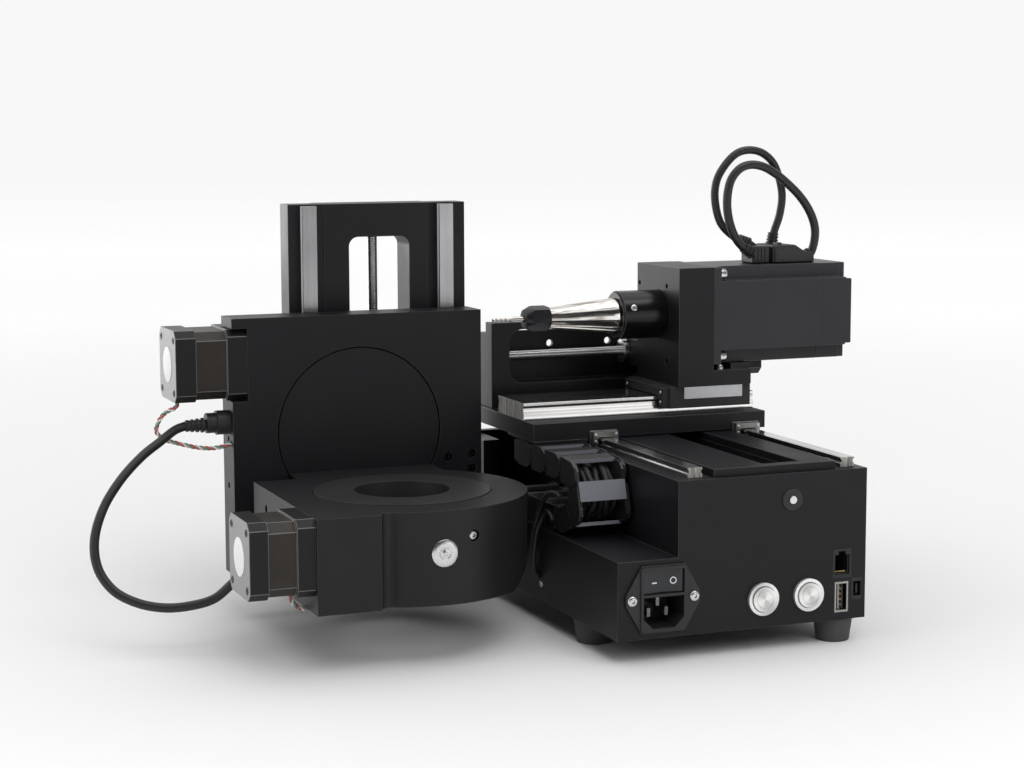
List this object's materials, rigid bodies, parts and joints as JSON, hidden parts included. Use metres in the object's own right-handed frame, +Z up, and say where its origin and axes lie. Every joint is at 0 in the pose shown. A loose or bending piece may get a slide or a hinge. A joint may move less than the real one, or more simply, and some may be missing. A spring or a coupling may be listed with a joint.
{
  "type": "desktop five-axis milling machine",
  "caption": "Desktop mill: a spindle head slides on rails over a base box, beside a column that lifts a tilting rotary table.",
  "frame": {"origin": "on the surface the machine stands on, under the middle of its bounding box without its free cords", "axes": "+Z up; +X to the right along the spindle axis, whose cutter points to -X; +Y to the back, along the tilt axis"},
  "size_m": [0.481, 0.2852, 0.2795],
  "materials": {
    "black_anodised": "satin black anodised, fine bead blast",
    "black_cover": "matte black paint",
    "motor_black": "semi-gloss black with dull steel laminations",
    "polished_steel": "ground and polished",
    "bright_steel": "bright turned",
    "button_metal": "brushed, concentric",
    "black_plastic": "fine matte moulded",
    "gloss_black": "glossy moulded",
    "rubber_black": "matte rubber",
    "cable_black": "matte sheath",
    "lead_red": "coloured insulation",
    "blank_plate": "brushed, bare",
    "bronze": "turned bronze"
  },
  "bodies": {
    "base": {"base_housing": "black_anodised", "base_cover": "black_cover", "feet": "rubber_black", "top_plate": "black_anodised", "x_rails": "polished_steel", "power_inlet": "black_plastic", "inlet_pins": "bright_steel", "button_bezels": "button_metal", "io_ports": "polished_steel", "screw_insert": "button_metal", "x_motor": "motor_black", "column_plate": "black_anodised", "y_rails": "polished_steel", "y_motor": "motor_black", "case_screws": "bright_steel", "side_cables": "cable_black"},
    "rocker": {"power_rocker": "gloss_black"},
    "left_push_button": {"left_button": "button_metal"},
    "right_push_button": {"right_button": "button_metal"},
    "x_lead_screw": {"x_screw": "polished_steel"},
    "y_lead_screw": {"y_screw": "polished_steel"},
    "z_lead_screw": {"z_screw": "polished_steel"},
    "spindle_carriage": {"x_plate": "black_anodised", "z_wall": "black_anodised", "z_rail": "polished_steel", "x_bearings": "polished_steel", "x_nut": "bronze", "z_motor": "motor_black", "chain_bracket": "black_cover", "drag_chain": "black_plastic"},
    "head": {"head_block": "black_anodised", "z_bearing": "black_cover", "name_strip": "blank_plate", "spindle_housing": "black_anodised", "spindle_motor": "motor_black", "motor_end_cap": "motor_black", "head_screws": "bright_steel", "z_nut": "polished_steel", "motor_connectors": "black_plastic", "motor_cable_a": "cable_black", "motor_cable_b": "cable_black"},
    "spindle": {"spindle_nose": "bright_steel", "collet_nut": "black_cover", "cutter": "bright_steel"},
    "table_carriage": {"y_carriage": "black_anodised", "y_bearings": "polished_steel", "y_nut": "bronze", "a_motor": "motor_black", "cable_plug": "black_plastic", "a_leads": "lead_red", "ab_cable": "cable_black"},
    "tilt_table": {"a_disc": "black_anodised", "b_housing": "black_anodised", "b_motor": "motor_black", "b_gland": "black_plastic", "housing_screws": "bright_steel", "b_leads": "lead_red"},
    "turntable": {"b_table": "black_anodised"}
  },
  "joints": [
    {"name": "x_slide", "type": "slide", "parent": "base", "child": "spindle_carriage", "axis": [0, -1, 0], "range_m": [0, 0.1155], "deforming": ["drag_chain"]},
    {"name": "z_slide", "type": "slide", "parent": "spindle_carriage", "child": "head", "axis": [-1, 0, 0], "range_m": [-0.0065, 0.079]},
    {"name": "y_slide", "type": "slide", "parent": "base", "child": "table_carriage", "axis": [0, 0, 1], "range_m": [0, 0.1283]},
    {"name": "a_tilt", "type": "hinge", "parent": "table_carriage", "child": "tilt_table", "pos_m": [-0.09925, 0.043, 0.1104], "axis": [0, 1, 0], "range_deg": [-25, 135], "deforming": ["ab_cable"]},
    {"name": "b_turn", "type": "hinge", "parent": "tilt_table", "child": "turntable", "pos_m": [-0.09925, -0.0346, 0.0878], "axis": [0, 0, 1], "continuous": true},
    {"name": "spindle_spin", "type": "hinge", "parent": "head", "child": "spindle", "pos_m": [0.09005, 0.0243, 0.1762], "axis": [-1, 0, 0], "continuous": true},
    {"name": "x_screw_spin", "type": "hinge", "parent": "base", "child": "x_lead_screw", "pos_m": [0.09535, -0.1394, 0.0855], "axis": [0, 1, 0], "range_deg": [-10, 8330]},
    {"name": "y_screw_spin", "type": "hinge", "parent": "base", "child": "y_lead_screw", "pos_m": [-0.07625, 0.0866, 0.1], "axis": [0, 0, 1], "range_deg": [-10, 9250]},
    {"name": "z_screw_spin", "type": "hinge", "parent": "spindle_carriage", "child": "z_lead_screw", "pos_m": [0.08825, 0.0726, 0.1482], "axis": [1, 0, 0], "range_deg": [-480, 6030]},
    {"name": "power_rock", "type": "hinge", "parent": "base", "child": "rocker", "pos_m": [0.01505, -0.1364, 0.04575], "axis": [0, 0, 1], "range_deg": [-8, 8]},
    {"name": "left_press", "type": "slide", "parent": "base", "child": "left_push_button", "axis": [0, 1, 0], "range_m": [0, 0.0015], "stiffness_N_per_m": 400, "springref_m": -0.001},
    {"name": "right_press", "type": "slide", "parent": "base", "child": "right_push_button", "axis": [0, 1, 0], "range_m": [0, 0.0015], "stiffness_N_per_m": 400, "springref_m": -0.001}
  ],
  "couplings": [
    {"joint": "x_screw_spin", "follows": "x_slide", "rad_per_m": 1256.6},
    {"joint": "y_screw_spin", "follows": "y_slide", "rad_per_m": 1256.6},
    {"joint": "z_screw_spin", "follows": "z_slide", "rad_per_m": 1256.6}
  ]
}
